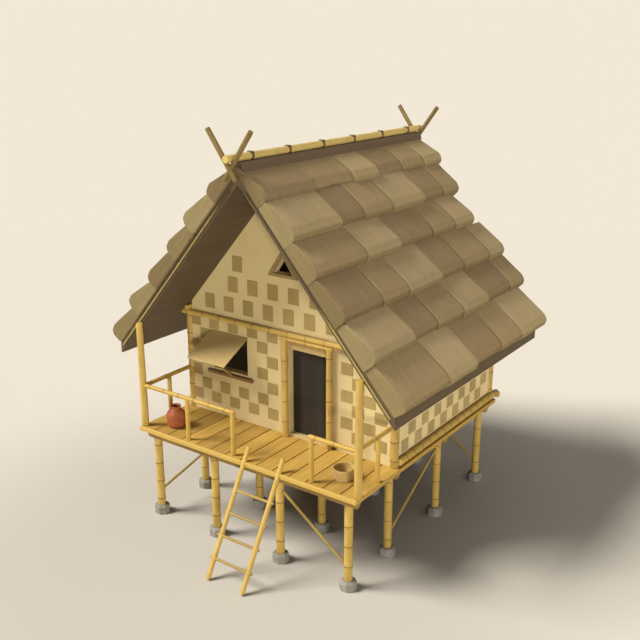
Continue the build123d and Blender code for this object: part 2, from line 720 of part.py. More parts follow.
def make_ladder():
    rise = Vector(0, LADDER_TOP_Y - LADDER_FOOT_Y, LADDER_TOP_Z).normalized()
    foot = Vector(0, LADDER_FOOT_Y, 0)
    rungs, sockets = [], []
    x0, x1 = LADDER_X0 - LADDER_R - RUNG_PROUD, LADDER_X1 + LADDER_R + RUNG_PROUD
    for i in range(RUNG_COUNT):
        at = foot + rise * (RUNG_FIRST + i * RUNG_PITCH)
        rungs.append(pole((x0, at.Y, at.Z), (x1, at.Y, at.Z), RUNG_R, RUNG_SIDES))
        sockets.append(pole((x0 - 1, at.Y, at.Z), (x1 + 1, at.Y, at.Z), RUNG_R + SEAT, RUNG_SIDES))
    ground = slab(0, 2 * LADDER_X1, LADDER_FOOT_Y - CUT_PAST, LADDER_FOOT_Y + CUT_PAST, -CUT_PAST, 0)
    edge = slab(-DECK_HALF, DECK_HALF, DECK_FRONT - SEAT, DECK_FRONT + CUT_PAST, DECK_TOP - CUT_PAST,
                DECK_TOP + EDGE_STRIP_PROUD + SEAT)
    rails = []
    for x in (LADDER_X0, LADDER_X1):
        low = foot - rise * 60
        rail = pole((x, low.Y, low.Z), (x, LADDER_TOP_Y, LADDER_TOP_Z), LADDER_R)
        for cut in (ground, edge, *sockets):
            rail -= cut
        rails.append(rail)
    return rails + rungs


def vessel(rings, sides):
    # The side outline through level rings, each a radius and a height, cut by itself at every turn
    outline = [*rings, *((-r, z) for r, z in reversed(rings))]
    reach = 2 * max(r for r, z in rings)
    view = prism(outline, -reach, reach)
    body = view
    for i in range(1, sides // 2):
        body &= Rot(0, 0, 360 * i / sides) * view
    return body


def make_jar():
    outer = [(share * JAR_R, rise * JAR_H) for share, rise in JAR_RINGS]
    inner = [(r - JAR_WALL, z) for r, z in outer if z > JAR_WALL]
    inner = [(outer[0][0] - JAR_WALL, JAR_WALL), *inner, (outer[-1][0] - JAR_WALL, JAR_H + 1)]
    return [Pos(JAR_X, JAR_Y, DECK_TOP) * (vessel(outer, JAR_SIDES) - vessel(inner, JAR_SIDES))]


def make_basket():
    foot = BASKET_FOOT_SHARE * BASKET_R
    outer = vessel([(foot, 0), (BASKET_R, BASKET_H)], BASKET_SIDES)
    inner = vessel([(foot - BASKET_WALL, BASKET_WALL), (BASKET_R - BASKET_WALL, BASKET_H + 1)], BASKET_SIDES)
    return [Pos(BASKET_X, BASKET_Y, DECK_TOP) * (outer - inner)]


def collect():
    side_plates, end_plates = make_wall_plates()
    side_rails, back_rail = make_base_rails()
    front_left, front_right, over_door = make_front_walls()
    gable_front, gable_back = make_gables()
    nodes = {
        "stone_footings": make_footings(),
        "stilts": make_stilts(),
        "floor_bearers": make_bearers(),
        "stilt_braces": make_braces(),
        "floor_deck": make_deck(),
        "deck_edge_strip": make_edge_strip(),
        "corner_posts": make_corner_posts(),
        "wall_plates_side": side_plates,
        "wall_plates_end": end_plates,
        "base_rails_side": side_rails,
        "base_rail_back": back_rail,
        "wall_front_left": front_left,
        "wall_front_right": front_right,
        "wall_over_door": over_door,
        "wall_left": make_side_wall(-1),
        "wall_right": make_side_wall(1),
        "wall_back": make_back_wall(),
        "gable_front": gable_front,
        "gable_back": gable_back,
        "vent_frame": make_vent_frame(),
        "door_leaf": make_door(),
        "door_threshold": make_threshold(),
        "door_frame": make_door_frame(),
        "window_flap": make_flap(),
        "window_sill": make_sill(),
        "window_prop": make_prop(),
        "veranda_posts": make_veranda_posts(),
        "veranda_rails_left": make_rails(-1),
        "veranda_rails_right": make_rails(1),
        "roof_slab_left": make_roof_slab(-1),
        "roof_slab_right": make_roof_slab(1),
        "ridge_cap": make_ridge_cap(),
        "ridge_pole": make_ridge_pole(),
        "ridge_ties": make_ties(),
        "crossed_finials": make_finials(),
        "barge_poles": make_barge_poles(),
        "ladder": make_ladder(),
        "water_jar": make_jar(),
        "basket": make_basket(),
    }
    for course in range(len(COURSE_EDGES)):
        nodes["thatch_course_%d" % (course + 1)] = make_course(course)
    return nodes


os.makedirs("parts", exist_ok=True)
for name, solids in collect().items():
    moved = [Pos(0, Y_SHIFT, 0) * solid for solid in solids]
    shape = moved[0] if len(moved) == 1 else Compound(moved)
    export_step(shape, "parts/%s.step" % name)
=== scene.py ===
# Dresses the bamboo house on stilts: culms with nodes, deck boards, woven walls, thatch, jar and basket.
# Metres, +Z up, veranda and ladder towards -Y, ridge along Y.

from itertools import product
from math import atan2, cos, pi, radians, sin

import bmesh
import bpy
import numpy as np
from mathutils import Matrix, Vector, noise


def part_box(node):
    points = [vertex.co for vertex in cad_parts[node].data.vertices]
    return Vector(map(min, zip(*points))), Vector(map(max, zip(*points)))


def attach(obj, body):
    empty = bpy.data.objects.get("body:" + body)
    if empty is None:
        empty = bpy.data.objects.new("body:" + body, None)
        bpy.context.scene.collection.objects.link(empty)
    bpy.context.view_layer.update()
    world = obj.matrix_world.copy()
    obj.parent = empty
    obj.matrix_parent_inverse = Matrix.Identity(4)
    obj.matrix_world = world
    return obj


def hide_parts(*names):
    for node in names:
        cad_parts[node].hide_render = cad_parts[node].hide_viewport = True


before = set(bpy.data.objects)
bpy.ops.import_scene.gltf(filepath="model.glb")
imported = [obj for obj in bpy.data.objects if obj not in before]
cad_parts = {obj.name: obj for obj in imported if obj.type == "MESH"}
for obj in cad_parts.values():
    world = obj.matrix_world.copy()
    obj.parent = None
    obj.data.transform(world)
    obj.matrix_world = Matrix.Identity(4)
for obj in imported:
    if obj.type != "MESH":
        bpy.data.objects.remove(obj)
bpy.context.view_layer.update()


# ---------------- what the CAD says

front_low, front_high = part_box("wall_front_left")
back_low, back_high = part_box("wall_back")

# The roof's slope, from the underside of its right slab
slab_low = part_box("roof_slab_right")[0]
right_slab = np.array([v.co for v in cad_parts["roof_slab_right"].data.vertices])
eave = right_slab[right_slab[:, 0].argmax()]
apex_z = right_slab[right_slab[:, 0] < slab_low.x + 0.001][:, 2].min()
ROOF_PITCH = atan2(apex_z - slab_low.z, eave[0] - slab_low.x)


# ---------------- materials

BUMP_STRENGTH = 0.8

# Changes of wood's noise in a metre, across the grain and along it, and the share of that in its bands
GRAIN_ACROSS, GRAIN_ALONG, BAND_SHARE = 70.0, 2.4, 0.12

# The line between two planks: half its width as a share of their pitch, and its depth beside the grain's
JOINT_WIDTH, JOINT_DEPTH = 0.03, 3.0

# The painted shade on the barge poles fades over this much on each side of its edge
SHADE_FADE = 0.15

# What is left of the colour of straw where its cut ends show, and at a bundle's two ends, where the dulling
# is painted shade
CUT_STRAW_AND_END_SHADE = (0.68, 0.70, 0.63)


def rgb(red, green, blue):
    """A display colour, 0 to 255, as the linear values that shaders take."""
    linear = []
    for value in (red, green, blue):
        value /= 255
        linear.append(value / 12.92 if value <= 0.04045 else ((value + 0.055) / 1.055) ** 2.4)
    return (*linear, 1.0)


class Look:
    """A procedural material. Most methods add nodes and hand back the socket they end in."""

    def __init__(self, name, roughness, specular=0.25):
        self.material = bpy.data.materials.new(name)
        self.material.use_nodes = True
        self.tree = self.material.node_tree
        self.shader = self.tree.nodes["Principled BSDF"]
        self.shader.inputs["Roughness"].default_value = roughness
        self.shader.inputs["Specular IOR Level"].default_value = specular
        self.place = self.add("TexCoord").outputs["Object"]

    def add(self, kind, sockets=None, **settings):
        """A new node, with each socket linked to the socket or set to the value that is given for it."""
        node = self.tree.nodes.new("ShaderNode" + kind)
        for key, value in settings.items():
            setattr(node, key, value)
        for key, value in (sockets or {}).items():
            if isinstance(value, bpy.types.NodeSocket):
                self.tree.links.new(value, node.inputs[key])
            else:
                node.inputs[key].default_value = value
        return node

    def noise(self, scale, detail, place=None, rough=0.55):
        """Noise around 0.5. The scale says for each axis how often it changes in a metre."""
        mapping = self.add("Mapping", {"Vector": place or self.place, "Scale": scale})
        sockets = {"Vector": mapping.outputs["Vector"], "Scale": 1.0, "Detail": detail, "Roughness": rough}
        return self.add("TexNoise", sockets).outputs["Fac"]

    def ramp(self, value, low, high, bottom=0.0, top=1.0):
        sockets = {"Value": value, "From Min": low, "From Max": high, "To Min": bottom, "To Max": top}
        return self.add("MapRange", sockets).outputs["Result"]

    def mix(self, share, first, second):
        return self.add("MixRGB", {"Fac": share, "Color1": first, "Color2": second}).outputs["Color"]

    def math(self, first, second, operation="ADD"):
        return self.add("Math", {0: first, 1: second}, operation=operation).outputs[0]

    def size(self, value):
        """The value without its sign."""
        return self.math(value, 0.0, "ABSOLUTE")

    def axes(self):
        """The X, Y and Z of a point on the object."""
        return self.add("SeparateXYZ", {"Vector": self.place}).outputs

    def vector(self, x, y, z):
        return self.add("CombineXYZ", {"X": x, "Y": y, "Z": z}).outputs["Vector"]

    def attribute(self, name):
        return self.add("Attribute", attribute_name=name).outputs["Fac"]

    def shaded(self, colour, value, depth):
        """The colour, darker by depth where value is 0.25 or less and lighter by depth from 0.75 up."""
        factor = self.ramp(value, 0.25, 0.75, 1 - depth, 1 + depth)
        sockets = {0: colour, "Scale": factor}
        return self.add("VectorMath", sockets, operation="SCALE").outputs["Vector"]

    def finish(self, colour, height=None, depth=None, roughness=None):
        """Links the colour, a bump of that depth if height is given, and the roughness if it varies."""
        self.tree.links.new(colour, self.shader.inputs["Base Color"])
        if roughness is not None:
            self.tree.links.new(roughness, self.shader.inputs["Roughness"])
        if height is not None:
            bump = self.add("Bump", {"Height": height, "Distance": depth, "Strength": BUMP_STRENGTH})
            self.tree.links.new(bump.outputs["Normal"], self.shader.inputs["Normal"])
        return self.material


def bamboo(name, pale, deep, groove, painted_shade=None):
    """Culm skin: fine streaks along the pole, soft blotches, dark grooves at the nodes.

    painted_shade is a stretch of X where the poles are painted darker near the ridge, as painted shade: its
    middle, its half length and the shade's colour.
    """
    look = Look(name, 0.5, 0.3)
    along = look.add("UVMap", uv_map="metres").outputs["UV"]
    streaks = look.noise((260, 7, 1), 3, along)
    blotches = look.noise((5, 2.2, 1), 4, along)
    colour = look.mix(look.ramp(blotches, 0.35, 0.7), pale, deep)
    colour = look.shaded(colour, streaks, 0.10)
    colour = look.shaded(colour, look.attribute("shade"), 0.09)
    colour = look.mix(look.attribute("dark_mark"), colour, groove)
    # Painted shade: the stretch of X given in painted_shade is darkened to its colour
    if painted_shade:
        middle, half, shadow_colour = painted_shade
        away = look.size(look.math(look.axes()["X"], middle, "SUBTRACT"))
        share = look.ramp(away, half - SHADE_FADE, half + SHADE_FADE, 1.0, 0.0)
        colour = look.mix(share, colour, shadow_colour)
    height = look.math(streaks, look.noise((60, 40, 1), 2, along))
    return look.finish(colour, height, 0.0006, look.ramp(streaks, 0.3, 0.7, 0.42, 0.62))


def boards(name, pale, deep, grain, pitch=0.0, groove=None, contrast=0.16):
    """Sawn or split wood with its grain along one axis, and planks side by side along X if pitch is given."""
    look = Look(name, 0.7)
    scale = [GRAIN_ACROSS] * 3
    scale["XYZ".index(grain)] = GRAIN_ALONG
    streaks = look.noise(scale, 5)
    bands = look.noise([value * BAND_SHARE for value in scale], 3)
    colour = look.mix(look.ramp(bands, 0.35, 0.68), pale, deep)
    colour = look.shaded(colour, streaks, contrast)
    colour = look.shaded(colour, look.attribute("shade"), 0.10)
    height = streaks
    if pitch:
        wave = look.math(look.math(look.axes()["X"], 1 / pitch, "MULTIPLY"), 1.0, "FRACT")
        joint = look.ramp(look.size(look.math(wave, 0.5, "SUBTRACT")), 0.0, JOINT_WIDTH, 1.0, 0.0)
        colour = look.mix(joint, colour, groove)
        height = look.math(streaks, look.math(joint, -JOINT_DEPTH, "MULTIPLY"))
    return look.finish(colour, height, 0.0009, look.ramp(streaks, 0.3, 0.7, 0.6, 0.85))


def matting(name, pale, deep, across, width=0.03, contrast=0.07):
    """Plaited split bamboo: strips over and under each other along Z and one level axis."""
    look = Look(name, 0.72)
    axes = look.axes()
    flat = look.vector(axes[across], axes["Z"], 0.0)
    cells = look.add("TexChecker", {"Vector": flat, "Scale": 1 / width}).outputs["Fac"]
    ridges = []
    for axis in (across, "Z"):
        turn = look.math(axes[axis], pi / width, "MULTIPLY")
        ridges.append(look.size(look.math(turn, 0.0, "SINE")))
    height = look.add("Mix", {"Factor": cells, 2: ridges[0], 3: ridges[1]}).outputs[0]
    fibres = look.noise((90, 90, 90), 3)
    patches = look.noise((1.3, 1.3, 1.3), 3)
    colour = look.mix(look.ramp(patches, 0.3, 0.7), pale, deep)
    colour = look.shaded(colour, look.ramp(cells, 0, 1, 0.35, 0.65), contrast)
    colour = look.shaded(colour, look.ramp(height, 0, 0.7, 0.25, 0.5), contrast * 1.5)
    colour = look.shaded(colour, fibres, 0.06)
    colour = look.shaded(colour, look.attribute("shade"), 0.08)
    return look.finish(colour, height, 0.003)


def straw(name, pale, deep):
    """Thatch: strands that run down the slope on both sides of the ridge, duller where they are cut off, and
    at the bundles' ends as painted shade.
    """
    look = Look(name, 0.9, 0.1)
    axes = look.axes()
    right_side = look.vector(look.size(axes["X"]), axes["Y"], axes["Z"])
    slope = (cos(ROOF_PITCH), 0, -sin(ROOF_PITCH))
    normal = (sin(ROOF_PITCH), 0, cos(ROOF_PITCH))
    down, out = (look.add("VectorMath", {0: right_side, 1: way}, operation="DOT_PRODUCT").outputs["Value"]
                 for way in (slope, normal))
    lie = look.vector(down, axes["Y"], out)
    strands = look.noise((3.5, 95, 95), 4, lie, 0.65)
    clumps = look.noise((1.5, 14, 14), 3, lie)
    colour = look.mix(look.ramp(clumps, 0.3, 0.7), pale, deep)
    colour = look.shaded(colour, strands, 0.075)
    # The shade attribute also carries the painted light of the right eave's bundles
    colour = look.shaded(colour, look.attribute("shade"), 0.24)
    dull_and_shaded = look.add("VectorMath", {0: colour, 1: CUT_STRAW_AND_END_SHADE}, operation="MULTIPLY").outputs["Vector"]
    # dark_mark is the cut ends, and the bundles' ends, where it is painted shade
    colour = look.mix(look.attribute("dark_mark"), colour, dull_and_shaded)
    return look.finish(colour, look.math(strands, look.math(clumps, 0.6, "MULTIPLY")), 0.004)


def fieldstone(name, pale, deep):
    """Stone with rough grains and soft stains."""
    look = Look(name, 0.85)
    grains = look.noise((45, 45, 45), 6)
    stains = look.noise((6, 6, 6), 3)
    colour = look.mix(look.ramp(stains, 0.35, 0.65), pale, deep)
    colour = look.shaded(colour, grains, 0.16)
    return look.finish(colour, grains, 0.004)


def clay(name, pale, deep):
    """Fired clay with faint throwing rings and smoke marks."""
    look = Look(name, 0.62, 0.3)
    rings = look.noise((6, 6, 130), 2)
    marks = look.noise((9, 9, 9), 4)
    colour = look.mix(look.ramp(marks, 0.35, 0.75), pale, deep)
    colour = look.shaded(colour, rings, 0.06)
    return look.finish(colour, rings, 0.0008, look.ramp(marks, 0.3, 0.7, 0.5, 0.75))


BAMBOO = bamboo("bamboo", rgb(192, 162, 84), rgb(180, 145, 67), rgb(104, 74, 32))
# A darker copy of the bamboo for the corner posts: painted shade of the eaves that they stand under
BAMBOO_POST_SHADED = bamboo("post_bamboo_shaded", rgb(181, 151, 78), rgb(169, 135, 62), rgb(98, 69, 30))
BAMBOO_PALE = bamboo("bamboo_pale", rgb(185, 153, 71), rgb(176, 140, 61), rgb(106, 76, 31))
RIDGE = bamboo("ridge_bamboo", rgb(190, 167, 98), rgb(178, 151, 84), rgb(146, 118, 63))
SPLIT = bamboo("split_bamboo", rgb(160, 136, 72), rgb(142, 117, 59), rgb(94, 73, 34))
FINIAL = bamboo("finial_bamboo", rgb(119, 99, 56), rgb(103, 83, 45), rgb(70, 53, 28))
# The barge poles are painted darker near the ridge: painted shade
BARGE_PAINTED_SHADE = (0.65, 1.2, rgb(80, 66, 44))
BARGE = bamboo("barge_bamboo", rgb(172, 154, 86), rgb(154, 137, 74), rgb(106, 90, 46), BARGE_PAINTED_SHADE)
LOG = bamboo("log", rgb(160, 128, 62), rgb(130, 103, 52), rgb(70, 54, 34))
SILL = bamboo("sill_wood", rgb(128, 96, 54), rgb(106, 78, 44), rgb(68, 50, 30))
DECK = boards("deck_boards", rgb(180, 146, 70), rgb(168, 132, 60), "Y")
DECK_UNDER = boards("deck_under", rgb(86, 62, 32), rgb(72, 52, 28), "X")
PLANK = boards("plank", rgb(212, 186, 134), rgb(196, 168, 114), "X")
HEAD_PLANK = boards("head_plank", rgb(184, 157, 106), rgb(170, 142, 90), "X")
VENT = boards("vent_wood", rgb(158, 131, 80), rgb(141, 115, 68), "X")
DOOR = boards("door_wood", rgb(50, 43, 34), rgb(40, 34, 28), "Z", pitch=0.19, groove=rgb(24, 20, 17))
ROOF_BOARD = boards("roof_board", rgb(90, 75, 54), rgb(84, 69, 50), "Y", contrast=0.05)
CAP = boards("ridge_wood", rgb(94, 79, 59), rgb(86, 71, 53), "Y", contrast=0.08)
MAT_X = matting("woven_mat_x", rgb(218, 198, 145), rgb(209, 186, 132), "X")
# The side walls' mat is a lighter copy of the front's: painted light on the side walls
MAT_Y_PAINTED_LIGHT = matting("woven_mat_y_painted_light", rgb(237, 215, 161), rgb(227, 203, 147), "Y")
CHECK_X = matting("checks_x", rgb(168, 145, 90), rgb(156, 132, 80), "X", width=0.018, contrast=0.09)
# The side walls' tiles are lighter than the front's too: painted light
CHECK_Y_PAINTED_LIGHT = matting("checks_y_painted_light", rgb(181, 160, 106), rgb(168, 146, 94), "Y", width=0.018, contrast=0.09)
FLAP = matting("flap_mat", rgb(192, 166, 109), rgb(180, 154, 99), "X", width=0.024)
STONE = fieldstone("stone", rgb(146, 142, 131), rgb(127, 123, 113))
CLAY = clay("terracotta", rgb(156, 85, 46), rgb(136, 70, 38))
# The jar's inside: a lighter copy of the clay, painted light in place of the shade inside the jar
CLAY_INSIDE_PAINTED_LIGHT = clay("terracotta_inside_painted_light", rgb(205, 122, 82), rgb(186, 104, 68))
BASKETRY = bamboo("basketry", rgb(207, 176, 111), rgb(178, 148, 89), rgb(110, 84, 48))
ROPE = bamboo("rope", rgb(84, 60, 40), rgb(68, 48, 33), rgb(46, 33, 24))
THATCH = {
    "light": straw("thatch_light", rgb(161, 142, 105), rgb(152, 133, 98)),
    "mid": straw("thatch_mid", rgb(150, 129, 94), rgb(140, 120, 87)),
    "dark": straw("thatch_dark", rgb(140, 119, 87), rgb(130, 111, 81)),
}


# ---------------- meshes

# The corners of a square, in order round it, and those of a cube
SQUARE = ((0, 0), (1, 0), (1, 1), (0, 1))
CUBE = tuple(product((0, 1), repeat=3))

# Along a culm at a node: distance from it, width as a share of the culm's, and how dark the groove is
KNOT = (
    (-0.034, 0.985, 0.0), (-0.012, 1.02, 0.0), (-0.006, 1.07, 0.0), (-0.003, 1.05, 1.0),
    (0.007, 1.0, 1.0), (0.010, 1.04, 0.0), (0.030, 0.985, 0.0),
)

# A culm has no node nearer than this to an end
KNOT_MARGIN = 0.05

# A culm narrows at each end, over this length, to this share of its width
CULM_END, CULM_END_WIDTH = 0.012, 0.95

# A pole without nodes has rings this far apart, by turns wider and narrower by this share
RING_PITCH, RING_SWELL = 0.3, 0.008

# In a CAD mesh: how near corners are one, at what angle faces are one, and from what angle an edge is sharp
SAME_POINT, SAME_FACE, SHARP = 1e-5, radians(0.5), radians(20)

# An edge runs along its pole if it is longer than this, or than this share of the longest one if that is less
LONG_EDGE, LONG_SHARE = 0.2, 0.4

# A pole runs along an axis from this cosine up, and two edges are parallel below this sine
ON_AXIS, PARALLEL = 0.999, 0.03

# The corners up to this share of a pole's length from one end give its radius there
NEAR_END = 0.35

# A pole is upright from this cosine up, and thin below this radius
UPRIGHT, THIN_RADIUS = 0.9, 0.03


def on_circle(centre, radius, turn, z):
    return (centre.x + radius * cos(turn), centre.y + radius * sin(turn), z)


class Batch:
    """The mesh of one piece while it is built: points, faces, and what the materials read from them."""

    def __init__(self):
        self.points, self.shade, self.dark_mark = [], [], []
        self.faces, self.uvs, self.smooth, self.slots = [], [], [], []

    def point(self, place, shade=0.5, dark_mark=0.0):
        self.points.append(tuple(place))
        self.shade.append(shade)
        self.dark_mark.append(dark_mark)
        return len(self.points) - 1

    def face(self, corners, uvs=None, smooth=False, slot=0):
        self.faces.append(corners)
        self.uvs += uvs or [(self.points[i][0] + self.points[i][1], self.points[i][2]) for i in corners]
        self.smooth.append(smooth)
        self.slots.append(slot)

    def tube(self, path, radii, sides, shade, knots=None, closed=False):
        """A round tube along a path, with flat ends, or joined up if closed."""
        path = [Vector(place) for place in path]
        count = len(path)
        side, rings, run = None, [], 0.0
        for i, (centre, radius) in enumerate(zip(path, radii)):
            before = path[i - 1] if i or closed else centre
            after = path[(i + 1) % count] if i < count - 1 or closed else centre
            along = (after - before).normalized()
            if side is None:
                side = along.orthogonal()
            side = (side - along * side.dot(along)).normalized()
            other = along.cross(side)
            turn = [2 * pi * j / sides for j in range(sides)]
            ring = [centre + radius * (cos(a) * side + sin(a) * other) for a in turn]
            dark_mark = knots[i] if knots else 0.0
            run += (centre - path[i - 1]).length if i else 0.0
            rings.append(([self.point(place, shade, dark_mark) for place in ring], run, ring))
        step = 2 * pi * max(radii) / sides
        for i in range(count if closed else count - 1):
            (low, v0, _), (high, v1, _) = rings[i], rings[(i + 1) % count]
            for j in range(sides):
                k = (j + 1) % sides
                uvs = [(j * step, v0), ((j + 1) * step, v0), ((j + 1) * step, v1), (j * step, v1)]
                self.face([low[j], low[k], high[k], high[j]], uvs, smooth=True)
        if not closed:
            for (_, v, ring), order in ((rings[0], -1), (rings[-1], 1)):
                cap = [self.point(place, shade) for place in ring][::order]
                self.face(cap, [(0.5, v)] * sides)

    def culm(self, start, end, r0, r1, pitch, first, shade, sides, spread):
        """A bamboo pole. If it has a pitch, first is the share of it between the start and the first node."""
        length = (end - start).length
        stations = [(0.0, CULM_END_WIDTH, 0.0), (CULM_END, 1.0, 0.0)]
        stations += [(length - CULM_END, 1.0, 0.0), (length, CULM_END_WIDTH, 0.0)]
        if pitch:
            place = pitch * first
            while place < length - KNOT_MARGIN:
                if place > KNOT_MARGIN:
                    stations += [(place + spread * shift, swell, dark_mark) for shift, swell, dark_mark in KNOT]
                place += pitch
        else:
            count = max(2, int(length / RING_PITCH))
            stations += [(length * i / count, 1.0 + RING_SWELL * (-1) ** i, 0.0) for i in range(1, count)]
        stations = sorted(station for station in stations if 0 <= station[0] <= length)
        path = [start.lerp(end, place / length) for place, _, _ in stations]
        radii = [swell * (r0 + (r1 - r0) * place / length) for place, swell, _ in stations]
        self.tube(path, radii, sides, shade, [dark_mark for _, _, dark_mark in stations])

    def block(self, low, high, bevel, shade=0.5, slot=0):
        """A box with all its edges chamfered."""
        low, high = Vector(low), Vector(high)
        # A corner of the box has a point for each axis, which lies in the face square to that axis
        corners = {}
        for sign in CUBE:
            for axis in range(3):
                place = []
                for i in range(3):
                    inset = 0 if i == axis else bevel
                    place.append(high[i] - inset if sign[i] else low[i] + inset)
                corners[sign, axis] = self.point(place, shade)

        def corner(axis, end, a, b, face_axis):
            sign = [0, 0, 0]
            sign[axis], sign[(axis + 1) % 3], sign[(axis + 2) % 3] = end, a, b
            return corners[tuple(sign), face_axis]

        for axis in range(3):
            u, v = (axis + 1) % 3, (axis + 2) % 3
            for end in (0, 1):
                ring = [corner(axis, end, a, b, axis) for a, b in SQUARE]
                self.face(ring if end else ring[::-1], slot=slot)
            for a, b in SQUARE:
                strip = [corner(axis, end, a, b, side) for end, side in ((0, u), (1, u), (1, v), (0, v))]
                self.face(strip if a == b else strip[::-1], slot=slot)
        for sign in CUBE:
            ring = [corners[sign, axis] for axis in range(3)]
            self.face(ring if sum(sign) % 2 else ring[::-1], slot=slot)

    def piece(self, name, materials, stands_for=()):
        mesh = bpy.data.meshes.new(name)
        mesh.from_pydata(self.points, [], self.faces)
        mesh.uv_layers.new(name="metres").data.foreach_set("uv", np.array(self.uvs, float).ravel())
        for key, values in (("shade", self.shade), ("dark_mark", self.dark_mark)):
            mesh.attributes.new(key, "FLOAT", "POINT").data.foreach_set("value", values)
        mesh.polygons.foreach_set("use_smooth", self.smooth)
        for material in materials:
            mesh.materials.append(material)
        mesh.polygons.foreach_set("material_index", self.slots)
        add_piece(name, mesh, stands_for)


def add_piece(name, mesh, stands_for):
    """Makes a mesh a piece of the house, in place of the CAD nodes that it stands for."""
    obj = bpy.data.objects.new(name, mesh)
    bpy.context.scene.collection.objects.link(obj)
    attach(obj, "house")
    if stands_for:
        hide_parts(*stands_for)


def flat_faced(node):
    """A copy of a CAD node's mesh to work on, with the triangles of each flat face joined."""
    work = bmesh.new()
    work.from_mesh(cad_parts[node].data)
    bmesh.ops.remove_doubles(work, verts=work.verts, dist=SAME_POINT)
    bmesh.ops.dissolve_limit(work, angle_limit=SAME_FACE, verts=work.verts, edges=work.edges)
    return work


def islands(node):
    """The solids of a CAD node, each as a list of points and a list of faces over them."""
    work = flat_faced(node)
    work.verts.ensure_lookup_table()
    seen, parts = set(), []
    for seed in work.verts:
        if seed.index in seen:
            continue
        seen.add(seed.index)
        stack, members = [seed], []
        while stack:
            corner = stack.pop()
            members.append(corner)
            for edge in corner.link_edges:
                other = edge.other_vert(corner)
                if other.index not in seen:
                    seen.add(other.index)
                    stack.append(other)
        index = {corner: i for i, corner in enumerate(members)}
        faces = {face for corner in members for face in corner.link_faces}
        faces = sorted([index[corner] for corner in face.verts] for face in faces)
        parts.append(([corner.co.copy() for corner in members], faces))
    work.free()
    return parts


def sticks(node):
    """Start, end and the two end radii of every pole in a CAD node, read from its long edges."""
    found = []
    for points, faces in islands(node):
        edges = {tuple(sorted(pair)) for face in faces for pair in zip(face, face[1:] + face[:1])}
        edges = [(points[a], points[b]) for a, b in edges]
        limit = min(LONG_EDGE, LONG_SHARE * max((b - a).length for a, b in edges))
        edges = sorted((edge for edge in edges if (edge[1] - edge[0]).length > limit),
                       key=lambda edge: -(edge[1] - edge[0]).length)
        while edges:
            along = (edges[0][1] - edges[0][0]).normalized()
            axis = max(range(3), key=lambda i: abs(along[i]))
            if abs(along[axis]) > ON_AXIS:
                along = Vector([float(i == axis) for i in range(3)])
            if along[axis] < 0:
                along = -along
            mine = [edge for edge in edges
                    if (edge[1] - edge[0]).normalized().cross(along).length < PARALLEL]
            edges = [edge for edge in edges if edge not in mine]
            if not mine:
                break
            corners = [corner for edge in mine for corner in edge]
            side = along.orthogonal().normalized()
            other = along.cross(side)
            centre = Vector()
            for axis in (side, other):
                spread = [corner.dot(axis) for corner in corners]
                centre += axis * (min(spread) + max(spread)) / 2
            reach = [corner.dot(along) for corner in corners]
            low, high = min(reach), max(reach)
            radii = []
            for level in (low, high):
                near = [corner for corner in corners
                        if abs(corner.dot(along) - level) < NEAR_END * (high - low)]
                away = [(corner - centre - along * corner.dot(along)).length for corner in near]
                radii.append(sum(away) / len(away))
            found.append((centre + along * low, centre + along * high, radii[0], radii[1]))
    return sorted(found, key=lambda line: tuple(round(value, 3) for value in line[0]))


def steady(i, low=0.0, high=1.0):
    """A value that looks random and is the same for the same number on every run."""
    return low + (high - low) * ((sin(i * 12.9898 + 4.1414) * 43758.5453) % 1)


def culms(node, material, pitch=0.0, sides=20, upright_pitch=None, spread=1.0, thin=None):
    """Stands a bamboo pole in place of each pole in a CAD node.

    The pole's own nodes are a pitch apart, or there are none, and spread stretches them. Uprights take
    upright_pitch if it is given, and thin poles take the material thin.
    """
    batch = Batch()
    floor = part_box(node)[0].z
    for i, (start, end, r0, r1) in enumerate(sticks(node)):
        along = (end - start).normalized()
        first = steady(i, 0.35, 0.75)
        shade = steady(i + 50, 0.3, 0.7)
        spacing = upright_pitch if upright_pitch is not None and abs(along.z) > UPRIGHT else pitch
        # The square end of a leaning pole would dip below the CAD node, so it starts further up
        dip = floor - start.z + r0 * (1 - min(1.0, along.z ** 2)) ** 0.5
        if along.z > 0.5 and dip > 0.001:
            start = start + along * (dip / along.z)
        made = len(batch.faces)
        batch.culm(start, end, r0, r1, spacing, first, shade, sides, spread)
        if thin and max(r0, r1) < THIN_RADIUS:
            batch.slots[made:] = [1] * (len(batch.faces) - made)
    batch.piece(node + "_culms", [material, thin] if thin else [material], stands_for=[node])


def moulded(node, material, bevel, segments=2):
    """A copy of a CAD node with its sharp edges rounded."""
    work = flat_faced(node)
    sharp = [edge for edge in work.edges if edge.calc_face_angle(0) > SHARP]
    bmesh.ops.bevel(work, geom=sharp, offset=bevel, segments=segments, profile=0.5, affect="EDGES")
    name = node + "_dressed"
    mesh = bpy.data.meshes.new(name)
    work.to_mesh(mesh)
    work.free()
    mesh.attributes.new("shade", "FLOAT", "POINT").data.foreach_set("value", [0.5] * len(mesh.vertices))
    mesh.materials.append(material)
    add_piece(name, mesh, [node])


# ---------------- poles

culms("stilts", BAMBOO, pitch=0.4)
culms("floor_bearers", LOG, sides=24)
culms("stilt_braces", SPLIT, sides=14)
